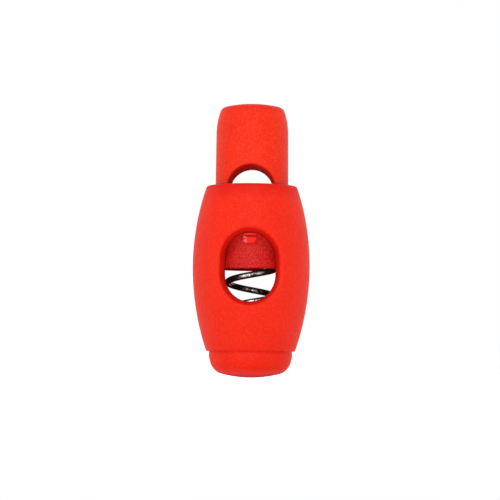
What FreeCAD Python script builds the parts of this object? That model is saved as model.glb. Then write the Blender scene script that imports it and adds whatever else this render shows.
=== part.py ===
import FreeCAD, Part
import math
import os
from FreeCAD import Vector

# Barrel cord lock: a round moulded body with a cord window through it, a press button (the plunger)
# that slides in the body's bore with its own cord hole, and the coil spring that pushes it out.
# All sizes are millimetres. The origin is the lowest point of the domed foot, on the axis of the
# bore. +Z runs up the bore to the button, and the window and the hole run through along Y.

AXIS_START = Vector(0, 0, 0)
UP = Vector(0, 0, 1)
SAME_PLACE = 0.001

# Body, outside: domed foot, and a barrel that overhangs it, with a side of two arcs that meet at
# the widest place.
FOOT_DOME_RADIUS = 13.0
FOOT_CORNER = (4.03, 0.64)
FOOT_RIM = (4.58, 2.4)
FOOT_SIDE_RADIUS = 7.0
CREASE_RADIUS = 4.55
BARREL_LOWER_Z = 2.89
BARREL_WIDEST_Z = 12.2
BARREL_WIDEST_RADIUS = 6.43
BARREL_LOWER_SIDE_RADIUS = 28.6
BARREL_UPPER_SIDE_RADIUS = 27.2
BODY_TOP = 21.04
FOOT_CORNER_ROUND = 1.9
FOOT_RIM_ROUND = 0.8
BARREL_LOWER_EDGE_ROUND = 0.22
RIM_ROUND = 0.33

# Body, inside: the bore that guides the plunger, and the narrower well that the spring stands in.
PLUNGER_RADIUS = 4.0
GUIDE_CLEARANCE = 0.09
BORE_RADIUS = PLUNGER_RADIUS + GUIDE_CLEARANCE
BORE_MOUTH_CHAMFER = 0.16
SHOULDER_Z = 5.3
FLOOR_Z = 2.0

# Cord window: an upright slot, narrowest where it meets the bore and flared towards the outside.
# The back slot is as high as the front one and a little wider.
WINDOW_HALF_WIDTH = 2.74
WINDOW_LOW_CENTRE = 11.22
WINDOW_HIGH_CENTRE = 12.74
BACK_WINDOW_EXTRA = 0.26
WINDOW_FLARE = math.tan(math.radians(13))
WINDOW_EDGE_ROUND = 0.3
CUTTER_OUTER_Y = 8.0
WALL_MIDDLE_RADIUS = (BORE_RADIUS + BARREL_WIDEST_RADIUS) / 2

# Plunger: a crowned button, slightly tapered above the body, with an upright cord hole.
CROWN_TOP = 30.1
CROWN_RADIUS = 13.2
CROWN_EDGE = (3.4, 29.65)
CROWN_EDGE_ROUND = 0.7
SHOULDER_ARC_RADIUS = 7.7
TAPER_TOP = (3.96, 26.6)
TAPER_FOOT_Z = 21.3
PLUNGER_BOTTOM = 11.86
PLUNGER_BOTTOM_ROUND = 0.15
HOLE_THROAT_HALF_WIDTH = 2.33
HOLE_LOW_CENTRE = 18.66
HOLE_HIGH_CENTRE = 20.52
HOLE_FLARE = math.tan(math.radians(5))
HOLE_EDGE_ROUND = 0.22
POCKET_TOP = 14.4

# Catch nubs, front and back: they snap past the rim and then stop under the window's top edge.
NUB_HALF_WIDTH = 0.76
NUB_BOTTOM = 14.49
NUB_TOP = 15.36
NUB_PROUD = 0.35
NUB_CORNER_WIDTH = 0.2
NUB_CORNER_HEIGHT = 0.34
NUB_ROOT = 0.44
NUB_EDGE_ROUND = 0.2
LIP_HALF_WIDTH = 0.67
LIP_BOTTOM = 15.41
LIP_TOP = 15.65
LIP_PROUD = 0.22

# Spring: round wire, open turns between a nearly closed turn at each end.
WIRE_RADIUS = 0.35
COIL_RADIUS = 2.55
CLOSED_PITCH = 0.76
OPEN_PITCH = 2.97
PITCH_EASE_TURNS = 0.5
SPRING_END_GAP = 0.02
COIL_SIDE_CLEARANCE = 0.22
FRONT_STRAND_Z = 11.19
STEPS_PER_TURN = 16
WELL_RADIUS = COIL_RADIUS + WIRE_RADIUS + COIL_SIDE_CLEARANCE


def point(radius_and_height):
    """A point of a turned outline, in the XZ plane."""
    radius, height = radius_and_height
    return Vector(radius, 0, height)


def line(start, end):
    return Part.LineSegment(point(start), point(end)).toShape()


def bulge(start, end, arc_radius):
    """An arc between two outline points, going up the outline, that bows away from the axis."""
    first, last = point(start), point(end)
    chord = last - first
    half = chord.Length / 2
    rise = arc_radius - math.sqrt(arc_radius**2 - half**2)
    outward = Vector(chord.z, 0, -chord.x).normalize()
    middle = (first + last) / 2 + outward * rise
    return Part.Arc(first, middle, last).toShape()


def barrel_point(height, side_radius):
    """The point of the barrel's side at one height, on an arc that is upright at the widest place."""
    off_widest = height - BARREL_WIDEST_Z
    inward = side_radius - math.sqrt(side_radius**2 - off_widest**2)
    return (BARREL_WIDEST_RADIUS - inward, height)


def barrel_side(start_z, end_z, side_radius):
    """One of the barrel's two side arcs."""
    heights = (start_z, (start_z + end_z) / 2, end_z)
    return Part.Arc(*[point(barrel_point(z, side_radius)) for z in heights]).toShape()


def turned(edges):
    """The solid made by turning a closed outline about the bore's axis."""
    return Part.Face(Part.Wire(edges)).revolve(AXIS_START, UP, 360)


def rings(shape, radius, height):
    """The circular edges of a turned solid at one radius and height."""
    found = []
    for edge in shape.Edges:
        if edge.Degenerated or not isinstance(edge.Curve, Part.Circle):
            continue
        off_radius = abs(edge.Curve.Radius - radius)
        off_height = abs(edge.Curve.Center.z - height)
        if max(off_radius, off_height) < SAME_PLACE:
            found.append(edge)
    return found


def slot_outline(half_width, low_centre, high_centre, y):
    """An upright slot with round ends, in the plane at y."""
    upper_right = Vector(half_width, y, high_centre)
    upper_left = Vector(-half_width, y, high_centre)
    lower_left = Vector(-half_width, y, low_centre)
    lower_right = Vector(half_width, y, low_centre)
    top = Part.Arc(upper_right, Vector(0, y, high_centre + half_width), upper_left)
    bottom = Part.Arc(lower_left, Vector(0, y, low_centre - half_width), lower_right)
    left = Part.LineSegment(upper_left, lower_left)
    right = Part.LineSegment(lower_right, upper_right)
    return Part.Wire([side.toShape() for side in (top, left, bottom, right)])


def turned_to_back(shape):
    """A copy turned half a turn about the bore's axis."""
    back = shape.copy()
    back.rotate(AXIS_START, UP, 180)
    return back


def mouth_edges(shape, half_width, low, high, surface_radius):
    """The edges round a slot's mouths, outside a given radius from the axis."""
    found = []
    for edge in shape.Edges:
        if edge.Degenerated:
            continue
        box = edge.BoundBox
        middle = edge.valueAt((edge.FirstParameter + edge.LastParameter) / 2)
        inside_x = max(abs(box.XMin), abs(box.XMax)) < half_width
        inside_z = box.ZMin > low and box.ZMax < high
        outside = math.hypot(middle.x, middle.y) > surface_radius
        if inside_x and inside_z and outside:
            found.append(edge)
    return found


def flared_cutter(half_width, low_centre, high_centre, inner_y, flare):
    """The front half of a flared slot, from inside the bore to clear of the barrel."""
    outlines = []
    for depth in (inner_y, CUTTER_OUTER_Y):
        widened = half_width + (depth - inner_y) * flare
        outlines.append(slot_outline(widened, low_centre, high_centre, -depth))
    return Part.makeLoft(outlines, True, True)


def window_cutter(extra):
    """A window slot on the front side, wider by an extra at each side and no higher."""
    half_width = WINDOW_HALF_WIDTH + extra
    inner_y = math.sqrt(BORE_RADIUS**2 - half_width**2)
    low_centre = WINDOW_LOW_CENTRE + extra
    high_centre = WINDOW_HIGH_CENTRE - extra
    return flared_cutter(half_width, low_centre, high_centre, inner_y, WINDOW_FLARE)


def make_body():
    foot = (0, 0)
    crease = (CREASE_RADIUS, BARREL_LOWER_Z)
    barrel_lower_edge = barrel_point(BARREL_LOWER_Z, BARREL_LOWER_SIDE_RADIUS)
    rim_outer = barrel_point(BODY_TOP, BARREL_UPPER_SIDE_RADIUS)
    mouth_outer = (BORE_RADIUS + BORE_MOUTH_CHAMFER, BODY_TOP)
    mouth_inner = (BORE_RADIUS, BODY_TOP - BORE_MOUTH_CHAMFER)
    shoulder_outer = (BORE_RADIUS, SHOULDER_Z)
    shoulder_inner = (WELL_RADIUS, SHOULDER_Z)
    well_corner = (WELL_RADIUS, FLOOR_Z)
    well_centre = (0, FLOOR_Z)
    body = turned([
        bulge(foot, FOOT_CORNER, FOOT_DOME_RADIUS),
        bulge(FOOT_CORNER, FOOT_RIM, FOOT_SIDE_RADIUS),
        line(FOOT_RIM, crease),
        line(crease, barrel_lower_edge),
        barrel_side(BARREL_LOWER_Z, BARREL_WIDEST_Z, BARREL_LOWER_SIDE_RADIUS),
        barrel_side(BARREL_WIDEST_Z, BODY_TOP, BARREL_UPPER_SIDE_RADIUS),
        line(rim_outer, mouth_outer),
        line(mouth_outer, mouth_inner),
        line(mouth_inner, shoulder_outer),
        line(shoulder_outer, shoulder_inner),
        line(shoulder_inner, well_corner),
        line(well_corner, well_centre),
        line(well_centre, foot),
    ])
    for corner, round_radius in (
        (FOOT_CORNER, FOOT_CORNER_ROUND),
        (FOOT_RIM, FOOT_RIM_ROUND),
        (barrel_lower_edge, BARREL_LOWER_EDGE_ROUND),
        (rim_outer, RIM_ROUND),
    ):
        body = body.makeFillet(round_radius, rings(body, *corner))
    body = body.cut(window_cutter(0))
    body = body.cut(turned_to_back(window_cutter(BACK_WINDOW_EXTRA)))
    mouths = mouth_edges(body, BORE_RADIUS, SHOULDER_Z, BODY_TOP, WALL_MIDDLE_RADIUS)
    return body.makeFillet(WINDOW_EDGE_ROUND, mouths)


def nub_outline():
    """The front view of a catch, on the plane at the middle of the bore's axis."""
    shoulder = NUB_BOTTOM + NUB_CORNER_HEIGHT
    toe = NUB_HALF_WIDTH - NUB_CORNER_WIDTH
    return Part.makePolygon([
        Vector(-NUB_HALF_WIDTH, 0, NUB_TOP),
        Vector(-NUB_HALF_WIDTH, 0, shoulder),
        Vector(-toe, 0, NUB_BOTTOM),
        Vector(toe, 0, NUB_BOTTOM),
        Vector(NUB_HALF_WIDTH, 0, shoulder),
        Vector(NUB_HALF_WIDTH, 0, NUB_TOP),
        Vector(-NUB_HALF_WIDTH, 0, NUB_TOP),
    ])


def make_nub():
    """One front catch: a block with a soft, rounded face, and a thinner lip above it."""
    root_y = -(PLUNGER_RADIUS - NUB_ROOT)
    block = Part.Face(nub_outline()).extrude(Vector(0, -(NUB_ROOT + NUB_PROUD), 0))
    block.translate(Vector(0, root_y, 0))
    front_y = -(PLUNGER_RADIUS + NUB_PROUD)
    front_edges = [edge for edge in block.Edges if edge.BoundBox.YMax < front_y + SAME_PLACE]
    block = block.makeFillet(NUB_EDGE_ROUND, front_edges)
    lip = Part.makeBox(2 * LIP_HALF_WIDTH, NUB_ROOT + LIP_PROUD, LIP_TOP - LIP_BOTTOM)
    lip.translate(Vector(-LIP_HALF_WIDTH, -(PLUNGER_RADIUS + LIP_PROUD), LIP_BOTTOM))
    return block.fuse(lip)


def make_plunger():
    crown = (0, CROWN_TOP)
    taper_foot = (PLUNGER_RADIUS, TAPER_FOOT_Z)
    bottom_outer = (PLUNGER_RADIUS, PLUNGER_BOTTOM)
    bottom_inner = (WELL_RADIUS, PLUNGER_BOTTOM)
    pocket_corner = (WELL_RADIUS, POCKET_TOP)
    pocket_centre = (0, POCKET_TOP)
    plunger = turned([
        line(pocket_centre, pocket_corner),
        line(pocket_corner, bottom_inner),
        line(bottom_inner, bottom_outer),
        line(bottom_outer, taper_foot),
        line(taper_foot, TAPER_TOP),
        bulge(TAPER_TOP, CROWN_EDGE, SHOULDER_ARC_RADIUS),
        bulge(CROWN_EDGE, crown, CROWN_RADIUS),
        line(crown, pocket_centre),
    ])
    plunger = plunger.makeFillet(CROWN_EDGE_ROUND, rings(plunger, *CROWN_EDGE))
    plunger = plunger.makeFillet(PLUNGER_BOTTOM_ROUND, rings(plunger, *bottom_outer))
    half_hole = flared_cutter(HOLE_THROAT_HALF_WIDTH, HOLE_LOW_CENTRE, HOLE_HIGH_CENTRE, 0, HOLE_FLARE)
    for cutter in (half_hole, turned_to_back(half_hole)):
        plunger = plunger.cut(cutter)
    mouths = mouth_edges(plunger, WELL_RADIUS, POCKET_TOP, TAPER_TOP[1], WELL_RADIUS)
    plunger = plunger.makeFillet(HOLE_EDGE_ROUND, mouths)
    front_nub = make_nub()
    for nub in (front_nub, turned_to_back(front_nub)):
        plunger = plunger.fuse(nub)
    return plunger.removeSplitter()


def eased_turns(turns):
    """Turns at the open pitch that a coil has gained, where the pitch opens over the ease."""
    if turns <= 0:
        return 0
    if turns < PITCH_EASE_TURNS:
        return turns**2 / (2 * PITCH_EASE_TURNS)
    return turns - PITCH_EASE_TURNS / 2


def make_spring():
    start_z = FLOOR_Z + SPRING_END_GAP + WIRE_RADIUS
    end_z = POCKET_TOP - SPRING_END_GAP - WIRE_RADIUS
    opening = OPEN_PITCH - CLOSED_PITCH
    turns = (end_z - start_z + opening * (2 + PITCH_EASE_TURNS)) / OPEN_PITCH
    front_turns = (FRONT_STRAND_Z - start_z + opening * (1 + PITCH_EASE_TURNS / 2)) / OPEN_PITCH
    start_angle = -math.pi / 2 - 2 * math.pi * front_turns
    steps = round(turns * STEPS_PER_TURN)
    path_points = []
    for step in range(steps + 1):
        turn = turns * step / steps
        open_part = eased_turns(turn - 1) - eased_turns(turn - turns + 1 + PITCH_EASE_TURNS)
        angle = start_angle + 2 * math.pi * turn
        x = COIL_RADIUS * math.cos(angle)
        y = COIL_RADIUS * math.sin(angle)
        path_points.append(Vector(x, y, start_z + CLOSED_PITCH * turn + opening * open_part))
    path = Part.BSplineCurve()
    path.interpolate(path_points)
    section = Part.Circle(path_points[0], path.tangent(path.FirstParameter)[0], WIRE_RADIUS)
    sweep = Part.BRepOffsetAPI.MakePipeShell(Part.Wire(path.toShape()))
    sweep.setBiNormalMode(UP)
    sweep.add(Part.Wire(section.toShape()))
    sweep.build()
    sweep.makeSolid()
    return sweep.shape()


PARTS = {"body": make_body, "plunger": make_plunger, "spring": make_spring}

os.makedirs("parts", exist_ok=True)
for name, make in PARTS.items():
    shape = make()
    print(name, "valid", shape.isValid(), "solids", len(shape.Solids), "volume", round(shape.Volume, 2))
    shape.exportStep(f"parts/{name}.step")
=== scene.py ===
import math

import bpy
from mathutils import Matrix, Vector


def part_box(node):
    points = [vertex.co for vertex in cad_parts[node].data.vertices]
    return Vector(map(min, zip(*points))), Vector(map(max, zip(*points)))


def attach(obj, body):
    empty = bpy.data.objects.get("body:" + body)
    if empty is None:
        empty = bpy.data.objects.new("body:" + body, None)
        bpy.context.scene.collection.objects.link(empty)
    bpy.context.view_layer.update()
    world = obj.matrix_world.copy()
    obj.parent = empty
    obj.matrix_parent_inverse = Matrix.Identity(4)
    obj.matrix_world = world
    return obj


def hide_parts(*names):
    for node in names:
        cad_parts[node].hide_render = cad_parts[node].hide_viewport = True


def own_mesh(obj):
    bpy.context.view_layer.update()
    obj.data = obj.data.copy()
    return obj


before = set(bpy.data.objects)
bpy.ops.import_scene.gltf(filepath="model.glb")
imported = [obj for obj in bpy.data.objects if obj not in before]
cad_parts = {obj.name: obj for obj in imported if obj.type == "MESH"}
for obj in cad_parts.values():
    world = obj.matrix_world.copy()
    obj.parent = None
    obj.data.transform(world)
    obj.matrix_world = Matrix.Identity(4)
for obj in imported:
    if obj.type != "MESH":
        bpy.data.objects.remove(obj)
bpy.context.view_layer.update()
MM = 0.001

# The coil, as it stands between the body's well and the plunger's pocket.
WIRE_RADIUS = 0.35 * MM
CLOSED_PITCH = 0.76 * MM
OPEN_PITCH = 2.97 * MM
PITCH_EASE_TURNS = 0.5
FRONT_STRAND_Z = 11.19 * MM
STEPS_PER_TURN = 72
WIRE_SIDES = 24
WIRE_END_BEVEL = 0.07 * MM

# The wire's finish. Where it faces the front or the back squarely enough, it is bright steel in
# patches, as painted highlights.
OXIDE_PATCH_SIZE = 0.7 * MM
DRAWN_GRAIN_SIZE = 0.1 * MM
HIGHLIGHT_PATCH_SIZE = 0.6 * MM
WIRE_RELIEF = 0.003 * MM
CREST_FACING = (0.81, 0.95)
WIRE_ROUGHNESS = (0.08, 0.2)
DRAWN_ROUGHER = 0.08
HIGHLIGHT_ROUGHER = 0.16

# The body's window: its walls are a deeper red as painted shade, and a darker one near the bore as
# more painted shade.
WINDOW_BOTTOM = 7.6 * MM
WINDOW_TOP = 16.6 * MM
WINDOW_BLEND = 0.3 * MM
RECESS_RADIUS = 5.85 * MM
RECESS_BLEND = 0.2 * MM
RECESS_SHADE_SHARE = 0.92
RECESS_ROUGHER = 0.35
THROAT_RADIUS = 4.6 * MM
THROAT_BLEND = 0.9 * MM

# The rim and the crown are a deeper red as painted shade, and the foot is paler where it stands as a
# painted reflection of the floor.
RIM_HEIGHTS = (19.3 * MM, 20.9 * MM)
RIM_SHARE = 0.7
CROWN_HEIGHTS = (29.0 * MM, 29.8 * MM)
CROWN_SHARE = 0.55
FOOT_HEIGHTS = (0.15 * MM, 0.95 * MM)
FOOT_SHEEN_SHARE = 0.6

# The plunger, where its finish changes: inside it, where it slides, and on its catches; inside it and
# where it slides its red is darkened as painted shade, and its catches carry a painted highlight.
INNER_WALL_RADIUS = 3.88 * MM
INNER_WALL_BLEND = 0.04 * MM
INNER_WALL_ROUGHER = 0.3
HOLE_TOP = 23.4 * MM
HOLE_BLEND = 0.2 * MM
SLIDING_TOP = 21.2 * MM
SLIDING_BLEND = 0.3 * MM
CATCH_RADIUS = 4.06 * MM
CATCH_RADIUS_BLEND = 0.04 * MM
CATCH_TOP = 15.7 * MM
CATCH_BLEND = 0.1 * MM
CATCH_SHARE = 0.8
CATCH_SMOOTHER = 0.14
CATCH_RELIEF_SHARE = 0.2
# A painted highlight on the -X side of each catch, below its lip.
CATCH_HIGHLIGHT_TOP = 15.3 * MM
CATCH_HIGHLIGHT_ACROSS = -0.4 * MM
CATCH_HIGHLIGHT_BLEND = 0.2 * MM
CATCH_HIGHLIGHT_SIZE = 0.3 * MM

# The moulded plastic's finish: colour drift, dark speckle, pale specks, grain and orange peel.
DRIFT_SIZE = 4 * MM
DRIFT_SHARE = 0.4
SPECKLE_SIZE = 0.28 * MM
SPECKLE_SHARE = 0.5
SPECK_SIZE = 0.18 * MM
BODY_SPECK_SHARE = 0.32
BUTTON_SPECK_SHARE = 0.5
EDGE_WIDTH = 0.12 * MM
EDGE_FACING = (0.995, 0.9)
EDGE_SHARE = 0.3
EDGE_SMOOTHER = 0.08
BODY_GRAIN_SIZE = 0.2 * MM
BODY_PEEL_SIZE = 1.2 * MM
BODY_PEEL_SHARE = 0.9
BODY_RELIEF = 0.03 * MM
BODY_ROUGHNESS = (0.46, 0.62)
BUTTON_GRAIN_SIZE = 0.26 * MM
BUTTON_PEEL_SIZE = 1.0 * MM
BUTTON_PEEL_SHARE = 0.6
BUTTON_RELIEF = 0.032 * MM
BUTTON_ROUGHNESS = (0.44, 0.6)
SPARK_SIZE = 0.11 * MM
PLASTIC_SPECULAR = 0.16
OUTER_IOR = 1.45

# The two noise values between which a pattern goes from none to full, or a range runs its length.
BROAD = (0.35, 0.65)
GRAIN_SPAN = (0.3, 0.7)
PATCHY = (0.4, 0.6)
FEW_SPECKS = (0.48, 0.74)
SPARKS = (0.42, 0.8)
CATCH_HIGHLIGHT_SPOTS = (0.46, 0.6)
HIGHLIGHT_SPAN = (0.42, 0.5)

# The camera stands a little to the right of the front, just above the floor, and looks up.
VIEW_CENTRE = Vector((-0.15, 0, 14.03)) * MM
VIEW_WIDTH = 55 * MM
CAMERA_DISTANCE = 260 * MM
CAMERA_AZIMUTH = 2.0
CAMERA_ELEVATION = -2.98
CAMERA_ROLL = 0.5
SENSOR_WIDTH = 36
NEAREST_SEEN = 10 * MM

# Soft boxes in front of the lock: azimuth and elevation in degrees, width and height, and watts.
SOFT_BOXES = (
    (-30, 15, 90 * MM, 60 * MM, 0.25),
    (3, 42, 150 * MM, 75 * MM, 0.48),
    (2, 6, 100 * MM, 60 * MM, 0.33),
    (32, 15, 60 * MM, 45 * MM, 0.08),
)
SOFT_BOX_DISTANCE = 450 * MM

# The room dims from full behind the lock to this in front, over this span of a direction's Y.
ROOM_IN_FRONT = 0.42
ROOM_DIMS = (-0.75, 0.25)

# The floor is a light table: it glows under the foot and a little all over.
FLOOR_SIZE = 4.0
FLOOR_GLOW = 0.07
FOOT_GLOW = 0.2
GLOW_EDGE = (2.5 * MM, 4.5 * MM)
FLOOR_TINT = (0.93, 0.95)
FLOOR_TINT_SIZE = 60 * MM
FLOOR_ROUGHNESS = 0.9
FLOOR_SPECULAR = 0.1

RED = (0.82, 0.018, 0.0012, 1)
BUTTON_RED = (0.82, 0.026, 0.0016, 1)
DEEP_RED = (0.7, 0.011, 0.0015, 1)
PALE_RED = (0.86, 0.045, 0.02, 1)
# The next two reds are painted shade in the window.
RECESS_SHADE_RED = (0.78, 0.004, 0.0005, 1)
THROAT_SHADE_RED = (0.46, 0.002, 0.0005, 1)
# Painted shade at the rim and the crown.
TOP_SHADE_RED = (0.6, 0.003, 0.0005, 1)
# Painted reflection of the floor on the foot.
FOOT_SHEEN_RED = (0.88, 0.1, 0.085, 1)
SPECK_RED = (0.84, 0.075, 0.035, 1)
# Spark texture reds, darker overall as painted shade of the window.
SPARK_LOW_RED = (0.48, 0.002, 0.001, 1)
SPARK_HIGH_RED = (0.74, 0.055, 0.044, 1)
CATCH_RED = (0.8, 0.006, 0.001, 1)
# A painted highlight on the catches.
CATCH_HIGHLIGHT_RED = (0.92, 0.2, 0.16, 1)
BLACK_OXIDE = (0.013, 0.01, 0.0105, 1)
DULL_OXIDE = (0.024, 0.018, 0.0185, 1)
# Bright steel for the wire's painted highlights.
HIGHLIGHT_STEEL = (0.72, 0.75, 0.75, 1)


def add_node(tree, kind, inputs=None, **settings):
    """A shader node with its settings, and its sockets set to values or joined to other sockets."""
    node = tree.nodes.new(kind)
    for name, value in settings.items():
        setattr(node, name, value)
    for socket, value in (inputs or {}).items():
        if isinstance(value, bpy.types.NodeSocket):
            tree.links.new(value, node.inputs[socket])
        else:
            node.inputs[socket].default_value = value
    return node


def blank_material(name):
    """A new material's tree with only an output, and its object coordinates in metres."""
    material = bpy.data.materials.new(name)
    material.use_nodes = True
    tree = material.node_tree
    tree.nodes.clear()
    output = tree.nodes.new("ShaderNodeOutputMaterial")
    place = add_node(tree, "ShaderNodeTexCoord").outputs["Object"]
    return material, tree, output, place


def noise(tree, place, size, detail=2, roughness=0.5):
    """Noise from 0 to 1 with features of about that size."""
    inputs = {"Vector": place, "Scale": 1 / size, "Detail": detail, "Roughness": roughness}
    return add_node(tree, "ShaderNodeTexNoise", inputs).outputs["Fac"]


def ramp(tree, value, span, low_out=0, high_out=1):
    """The value mapped from the span to low_out..high_out, and held outside it."""
    inputs = {
        "Value": value,
        "From Min": span[0],
        "From Max": span[1],
        "To Min": low_out,
        "To Max": high_out,
    }
    return add_node(tree, "ShaderNodeMapRange", inputs, clamp=True).outputs["Result"]


def math_node(tree, operation, first, second):
    inputs = {0: first, 1: second}
    return add_node(tree, "ShaderNodeMath", inputs, operation=operation).outputs["Value"]


def times(tree, first, second):
    return math_node(tree, "MULTIPLY", first, second)


def plus(tree, first, second):
    return math_node(tree, "ADD", first, second)


def minus(tree, first, second):
    return math_node(tree, "SUBTRACT", first, second)


def mix_colour(tree, share, first, second):
    inputs = {"Factor": share, "A": first, "B": second}
    node = add_node(tree, "ShaderNodeMix", data_type="RGBA")
    for name, value in inputs.items():
        socket = [s for s in node.inputs if s.name == name and s.enabled][0]
        if isinstance(value, bpy.types.NodeSocket):
            tree.links.new(value, socket)
        else:
            socket.default_value = value
    return [s for s in node.outputs if s.enabled][0]


def below(tree, value, limit, blend):
    """1 where the value is under the limit and 0 where it is over, with a short blend."""
    return ramp(tree, value, (limit - blend / 2, limit + blend / 2), 1, 0)


def axis_part(tree, vector, axis):
    """One of a vector's three numbers."""
    return add_node(tree, "ShaderNodeSeparateXYZ", {0: vector}).outputs[axis]


def height_and_radius(tree, place):
    """The height of a point above the foot, and its distance from the bore's axis."""
    split = add_node(tree, "ShaderNodeSeparateXYZ", {0: place})
    flat = add_node(tree, "ShaderNodeCombineXYZ", {"X": split.outputs["X"], "Y": split.outputs["Y"]})
    length = add_node(tree, "ShaderNodeVectorMath", {0: flat.outputs["Vector"]}, operation="LENGTH")
    return split.outputs["Z"], length.outputs["Value"]


def edge_mask(tree):
    """1 along edges sharper than the edge width and 0 on open faces."""
    rounded = add_node(tree, "ShaderNodeBevel", {"Radius": EDGE_WIDTH}, samples=6).outputs["Normal"]
    true_normal = add_node(tree, "ShaderNodeNewGeometry").outputs["Normal"]
    inputs = {0: rounded, 1: true_normal}
    facing = add_node(tree, "ShaderNodeVectorMath", inputs, operation="DOT_PRODUCT").outputs["Value"]
    return ramp(tree, facing, EDGE_FACING)


def satin_base(tree, place, edges, red, speck_share):
    """Red with slow colour drift, fine specks and slightly paler edges."""
    drift = ramp(tree, noise(tree, place, DRIFT_SIZE, detail=3), BROAD)
    speckle = ramp(tree, noise(tree, place, SPECKLE_SIZE, detail=3, roughness=0.6), BROAD)
    base = mix_colour(tree, times(tree, drift, DRIFT_SHARE), red, DEEP_RED)
    base = mix_colour(tree, times(tree, speckle, SPECKLE_SHARE), base, DEEP_RED)
    specks = ramp(tree, noise(tree, place, SPECK_SIZE, roughness=0.6), FEW_SPECKS, 0, speck_share)
    base = mix_colour(tree, specks, base, SPECK_RED)
    return mix_colour(tree, times(tree, edges, EDGE_SHARE), base, PALE_RED)


def plastic_surface(tree, output, base, roughness, relief, depth):
    """The red plastic's shader over a relief from 0 to 1."""
    bump = add_node(tree, "ShaderNodeBump", {"Height": relief, "Distance": depth})
    shader = add_node(tree, "ShaderNodeBsdfPrincipled", {
        "Base Color": base,
        "Roughness": roughness,
        "IOR": OUTER_IOR,
        "Specular IOR Level": PLASTIC_SPECULAR,
        "Normal": bump.outputs["Normal"],
    })
    tree.links.new(shader.outputs["BSDF"], output.inputs["Surface"])


def body_plastic():
    """Satin moulded plastic: fine grain over a faint orange peel, rougher in the window."""
    material, tree, output, place = blank_material("body_red")
    height, radius = height_and_radius(tree, place)
    edges = edge_mask(tree)
    base = satin_base(tree, place, edges, RED, BODY_SPECK_SHARE)
    # Painted shade: the rim is a deeper red, as if less light fell from above.
    top_shade = ramp(tree, height, RIM_HEIGHTS, 0, RIM_SHARE)
    base = mix_colour(tree, top_shade, base, TOP_SHADE_RED)
    # Painted reflection: the foot is paler towards where it stands, as if lit by the floor.
    painted_sheen = ramp(tree, height, FOOT_HEIGHTS, FOOT_SHEEN_SHARE, 0)
    base = mix_colour(tree, painted_sheen, base, FOOT_SHEEN_RED)
    above_window_bottom = minus(tree, 1, below(tree, height, WINDOW_BOTTOM, WINDOW_BLEND))
    in_window = times(tree, below(tree, height, WINDOW_TOP, WINDOW_BLEND), above_window_bottom)
    recess = times(tree, in_window, below(tree, radius, RECESS_RADIUS, RECESS_BLEND))
    # Painted shade: the window's walls are a deeper red.
    base = mix_colour(tree, times(tree, recess, RECESS_SHADE_SHARE), base, RECESS_SHADE_RED)
    # Painted shade: darker red towards the bore, where the window is deepest.
    throat_shade = times(tree, in_window, below(tree, radius, THROAT_RADIUS, THROAT_BLEND))
    base = mix_colour(tree, throat_shade, base, THROAT_SHADE_RED)
    grain = noise(tree, place, BODY_GRAIN_SIZE, detail=3, roughness=0.55)
    peel = noise(tree, place, BODY_PEEL_SIZE)
    relief = plus(tree, grain, times(tree, peel, BODY_PEEL_SHARE))
    roughness = ramp(tree, grain, GRAIN_SPAN, *BODY_ROUGHNESS)
    roughness = minus(tree, roughness, times(tree, edges, EDGE_SMOOTHER))
    roughness = plus(tree, roughness, times(tree, recess, RECESS_ROUGHER))
    plastic_surface(tree, output, base, roughness, relief, BODY_RELIEF)
    return material


def catch_mask(tree, height, radius):
    """1 on the catches, which stand out from the plunger's stem, and 0 elsewhere."""
    proud = minus(tree, 1, below(tree, radius, CATCH_RADIUS, CATCH_RADIUS_BLEND))
    return times(tree, proud, below(tree, height, CATCH_TOP, CATCH_BLEND))


def catch_highlight_mask(tree, place, height, on_catch):
    """1 in patches on the -X side of a catch, below its lip: a painted highlight."""
    left = below(tree, axis_part(tree, place, "X"), CATCH_HIGHLIGHT_ACROSS, CATCH_HIGHLIGHT_BLEND)
    side = times(tree, left, below(tree, height, CATCH_HIGHLIGHT_TOP, CATCH_BLEND))
    tone = ramp(tree, noise(tree, place, CATCH_HIGHLIGHT_SIZE, detail=3), CATCH_HIGHLIGHT_SPOTS)
    return times(tree, on_catch, times(tree, side, tone))


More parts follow.
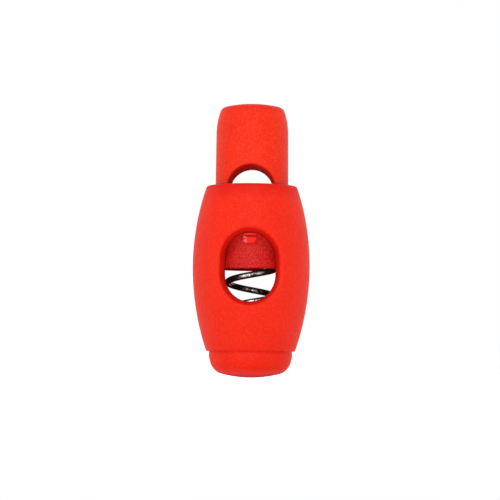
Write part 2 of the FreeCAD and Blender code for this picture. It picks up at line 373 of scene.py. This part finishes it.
def plunger_plastic():
    """The same plastic, spark-textured and darker where it slides, the darkness partly painted shade
    of the window, with smoother catches.
    """
    material, tree, output, place = blank_material("plunger_red")
    height, radius = height_and_radius(tree, place)
    edges = edge_mask(tree)
    inside = times(tree, below(tree, radius, INNER_WALL_RADIUS, INNER_WALL_BLEND),
                   below(tree, height, HOLE_TOP, HOLE_BLEND))
    on_catch = catch_mask(tree, height, radius)
    sliding = times(tree, below(tree, height, SLIDING_TOP, SLIDING_BLEND), minus(tree, 1, on_catch))
    sliding = times(tree, sliding, minus(tree, 1, inside))
    sparks = noise(tree, place, SPARK_SIZE, detail=1)
    # Spark texture, and a darker red overall as painted shade inside the window.
    spark_and_shade = mix_colour(tree, ramp(tree, sparks, SPARKS), SPARK_LOW_RED, SPARK_HIGH_RED)
    base = satin_base(tree, place, edges, BUTTON_RED, BUTTON_SPECK_SHARE)
    # Painted shade: the crown is a deeper red towards its top.
    top_shade = ramp(tree, height, CROWN_HEIGHTS, 0, CROWN_SHARE)
    base = mix_colour(tree, top_shade, base, TOP_SHADE_RED)
    # Painted shade: a deeper red inside the hole and the pocket.
    base = mix_colour(tree, times(tree, inside, RECESS_SHADE_SHARE), base, RECESS_SHADE_RED)
    base = mix_colour(tree, sliding, base, spark_and_shade)
    base = mix_colour(tree, times(tree, on_catch, CATCH_SHARE), base, CATCH_RED)
    # Painted highlight: pale pink patches on the catch's -X side.
    base = mix_colour(tree, catch_highlight_mask(tree, place, height, on_catch), base, CATCH_HIGHLIGHT_RED)
    grain = noise(tree, place, BUTTON_GRAIN_SIZE, detail=3, roughness=0.55)
    peel = noise(tree, place, BUTTON_PEEL_SIZE)
    relief = plus(tree, grain, times(tree, peel, BUTTON_PEEL_SHARE))
    relief = plus(tree, relief, times(tree, sparks, sliding))
    relief = times(tree, relief, ramp(tree, on_catch, (0, 1), 1, CATCH_RELIEF_SHARE))
    roughness = ramp(tree, grain, GRAIN_SPAN, *BUTTON_ROUGHNESS)
    roughness = plus(tree, roughness, times(tree, inside, INNER_WALL_ROUGHER))
    roughness = minus(tree, roughness, times(tree, on_catch, CATCH_SMOOTHER))
    plastic_surface(tree, output, base, roughness, relief, BUTTON_RELIEF)
    return material


def spring_wire():
    """Black oxide wire with an oily shine, and bright steel patches where it faces the front or the
    back, as painted highlights.
    """
    material, tree, output, place = blank_material("spring_wire")
    patches = ramp(tree, noise(tree, place, OXIDE_PATCH_SIZE, detail=4), PATCHY)
    drawn = noise(tree, place, DRAWN_GRAIN_SIZE, detail=3, roughness=0.6)
    normal = add_node(tree, "ShaderNodeNewGeometry").outputs["Normal"]
    facing = math_node(tree, "ABSOLUTE", axis_part(tree, normal, "Y"), 0)
    painted_sheen = ramp(tree, noise(tree, place, HIGHLIGHT_PATCH_SIZE, detail=3, roughness=0.6), HIGHLIGHT_SPAN)
    # Painted highlights: bright metal only where the wire faces the front or the back, broken into
    # patches.
    highlight_patches = times(tree, ramp(tree, facing, CREST_FACING), painted_sheen)
    oxide = mix_colour(tree, patches, BLACK_OXIDE, DULL_OXIDE)
    bump = add_node(tree, "ShaderNodeBump", {"Height": drawn, "Distance": WIRE_RELIEF})
    roughness = ramp(tree, patches, (0, 1), *WIRE_ROUGHNESS)
    roughness = plus(tree, roughness, times(tree, drawn, DRAWN_ROUGHER))
    roughness = plus(tree, roughness, times(tree, highlight_patches, HIGHLIGHT_ROUGHER))
    shader = add_node(tree, "ShaderNodeBsdfPrincipled", {
        "Base Color": mix_colour(tree, highlight_patches, oxide, HIGHLIGHT_STEEL),
        "Metallic": highlight_patches,
        "Roughness": roughness,
        "IOR": OUTER_IOR,
        "Normal": bump.outputs["Normal"],
    })
    tree.links.new(shader.outputs["BSDF"], output.inputs["Surface"])
    return material


def eased_turns(turns):
    """Turns at the open pitch that a coil has gained, where the pitch opens over the ease."""
    if turns <= 0:
        return 0
    if turns < PITCH_EASE_TURNS:
        return turns**2 / (2 * PITCH_EASE_TURNS)
    return turns - PITCH_EASE_TURNS / 2


def coil_path():
    """The wire's centreline: a closed turn, open turns and a closed turn, wound right-handed."""
    low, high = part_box("spring")
    coil_radius = high.x - WIRE_RADIUS
    start_z = low.z + WIRE_RADIUS
    height = high.z - low.z - 2 * WIRE_RADIUS
    opening = OPEN_PITCH - CLOSED_PITCH
    turns = (height + opening * (2 + PITCH_EASE_TURNS)) / OPEN_PITCH
    front_turns = (FRONT_STRAND_Z - start_z + opening * (1 + PITCH_EASE_TURNS / 2)) / OPEN_PITCH
    start_angle = -math.pi / 2 - 2 * math.pi * front_turns
    steps = round(turns * STEPS_PER_TURN)
    path = []
    for step in range(steps + 1):
        turn = turns * step / steps
        open_part = eased_turns(turn - 1) - eased_turns(turn - turns + 1 + PITCH_EASE_TURNS)
        angle = start_angle + 2 * math.pi * turn
        z = start_z + CLOSED_PITCH * turn + opening * open_part
        path.append(Vector((coil_radius * math.cos(angle), coil_radius * math.sin(angle), z)))
    return path


def wire_ring(centre, along, radius):
    """The corners of the wire's round section."""
    outward = Vector((centre.x, centre.y, 0)).normalized()
    side = along.cross(outward).normalized()
    outward = side.cross(along).normalized()
    corners = []
    for corner in range(WIRE_SIDES):
        angle = 2 * math.pi * corner / WIRE_SIDES
        corners.append(centre + radius * (math.cos(angle) * outward + math.sin(angle) * side))
    return corners


def make_spring():
    """The coil as a round wire swept along its path, with small bevels on its cut ends."""
    path = coil_path()
    first_along = (path[1] - path[0]).normalized()
    last_along = (path[-1] - path[-2]).normalized()
    rings = [wire_ring(path[0], first_along, WIRE_RADIUS - WIRE_END_BEVEL)]
    rings.append(wire_ring(path[0] + first_along * WIRE_END_BEVEL, first_along, WIRE_RADIUS))
    for before, centre, after in zip(path, path[1:], path[2:]):
        rings.append(wire_ring(centre, (after - before).normalized(), WIRE_RADIUS))
    rings.append(wire_ring(path[-1] - last_along * WIRE_END_BEVEL, last_along, WIRE_RADIUS))
    rings.append(wire_ring(path[-1], last_along, WIRE_RADIUS - WIRE_END_BEVEL))
    points = [corner for ring in rings for corner in ring]
    faces = [list(range(WIRE_SIDES))[::-1]]
    for ring in range(len(rings) - 1):
        for corner in range(WIRE_SIDES):
            beside = (corner + 1) % WIRE_SIDES
            low, high = ring * WIRE_SIDES, (ring + 1) * WIRE_SIDES
            faces.append([low + corner, low + beside, high + beside, high + corner])
    faces.append([len(points) - WIRE_SIDES + corner for corner in range(WIRE_SIDES)])
    mesh = bpy.data.meshes.new("spring_coil")
    mesh.from_pydata(points, [], faces)
    mesh.shade_smooth()
    for polygon in (mesh.polygons[0], mesh.polygons[len(faces) - 1]):
        polygon.use_smooth = False
    coil = bpy.data.objects.new("spring_coil", mesh)
    bpy.context.scene.collection.objects.link(coil)
    coil.data.materials.append(spring_wire())
    return coil


def fit_spring(coil):
    """The coil rides in the body, in place of the model's spring, with a mesh of its own."""
    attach(coil, "body")
    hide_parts("spring")
    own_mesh(coil)


def paint(node, material):
    """Gives a CAD node that material in place of its plain one."""
    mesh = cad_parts[node].data
    mesh.materials.clear()
    mesh.materials.append(material)


def seen_by_camera(tree):
    """1 where the camera looks straight at it, so that the ground and the room show as white."""
    return add_node(tree, "ShaderNodeLightPath").outputs["Is Camera Ray"]


def make_floor():
    """A plain pale floor under the foot."""
    half = FLOOR_SIZE / 2
    corners = [(-half, -half, 0), (half, -half, 0), (half, half, 0), (-half, half, 0)]
    mesh = bpy.data.meshes.new("floor")
    mesh.from_pydata(corners, [], [[0, 1, 2, 3]])
    floor = bpy.data.objects.new("floor", mesh)
    bpy.context.scene.collection.objects.link(floor)
    material, tree, output, place = blank_material("floor")
    tint = ramp(tree, noise(tree, place, FLOOR_TINT_SIZE), GRAIN_SPAN, *FLOOR_TINT)
    away = height_and_radius(tree, place)[1]
    glow = ramp(tree, away, GLOW_EDGE, FOOT_GLOW, FLOOR_GLOW)
    colour = add_node(tree, "ShaderNodeCombineColor", {"Red": tint, "Green": tint, "Blue": tint})
    shader = add_node(tree, "ShaderNodeBsdfPrincipled", {
        "Base Color": colour.outputs["Color"],
        "Roughness": FLOOR_ROUGHNESS,
        "Specular IOR Level": FLOOR_SPECULAR,
        "Emission Color": (1, 1, 1, 1),
        "Emission Strength": math_node(tree, "MAXIMUM", seen_by_camera(tree), glow),
    })
    tree.links.new(shader.outputs["BSDF"], output.inputs["Surface"])
    floor.data.materials.append(material)


def make_world():
    """A white studio whose walls fall off to a dimmer room in front of the lock, seen as white."""
    world = bpy.data.worlds.new("white_room")
    world.use_nodes = True
    tree = world.node_tree
    towards = add_node(tree, "ShaderNodeTexCoord").outputs["Generated"]
    walls = ramp(tree, axis_part(tree, towards, "Y"), ROOM_DIMS, ROOM_IN_FRONT, 1)
    strength = math_node(tree, "MAXIMUM", walls, seen_by_camera(tree))
    background = tree.nodes["Background"]
    background.inputs["Color"].default_value = (1, 1, 1, 1)
    tree.links.new(strength, background.inputs["Strength"])
    bpy.context.scene.world = world


def aim(thing, target, roll=0.0):
    """Turns a camera or lamp to look at a point, with its own roll in degrees."""
    direction = target - thing.location
    turn = direction.to_track_quat("-Z", "Y").to_matrix().to_4x4()
    turn = turn @ Matrix.Rotation(math.radians(roll), 4, "Z")
    thing.rotation_euler = turn.to_euler()


def around(azimuth, elevation):
    """The direction from the lock to an azimuth, measured from the front, and an elevation."""
    turn = math.radians(azimuth)
    rise = math.radians(elevation)
    return Vector((math.sin(turn) * math.cos(rise), -math.cos(turn) * math.cos(rise), math.sin(rise)))


def make_soft_box(name, azimuth, elevation, width, height, power):
    """A soft box that faces the lock from an azimuth and an elevation."""
    light = bpy.data.lights.new(name, "AREA")
    light.shape = "RECTANGLE"
    light.size = width
    light.size_y = height
    light.energy = power
    lamp = bpy.data.objects.new(name, light)
    bpy.context.scene.collection.objects.link(lamp)
    lamp.location = VIEW_CENTRE + around(azimuth, elevation) * SOFT_BOX_DISTANCE
    aim(lamp, VIEW_CENTRE)


def make_camera():
    """The camera, with a view as wide as VIEW_WIDTH at the lock."""
    away = around(CAMERA_AZIMUTH, CAMERA_ELEVATION)
    lens = bpy.data.cameras.new("camera")
    lens.sensor_width = SENSOR_WIDTH
    lens.lens = SENSOR_WIDTH * CAMERA_DISTANCE / VIEW_WIDTH
    lens.clip_start = NEAREST_SEEN
    camera = bpy.data.objects.new("camera", lens)
    bpy.context.scene.collection.objects.link(camera)
    camera.location = VIEW_CENTRE + away * CAMERA_DISTANCE
    aim(camera, VIEW_CENTRE, CAMERA_ROLL)
    bpy.context.scene.camera = camera


paint("body", body_plastic())
paint("plunger", plunger_plastic())
fit_spring(make_spring())

make_floor()
make_world()
for number, soft_box in enumerate(SOFT_BOXES):
    make_soft_box(f"soft_box_{number}", *soft_box)
make_camera()

bpy.context.scene.view_settings.view_transform = "Standard"
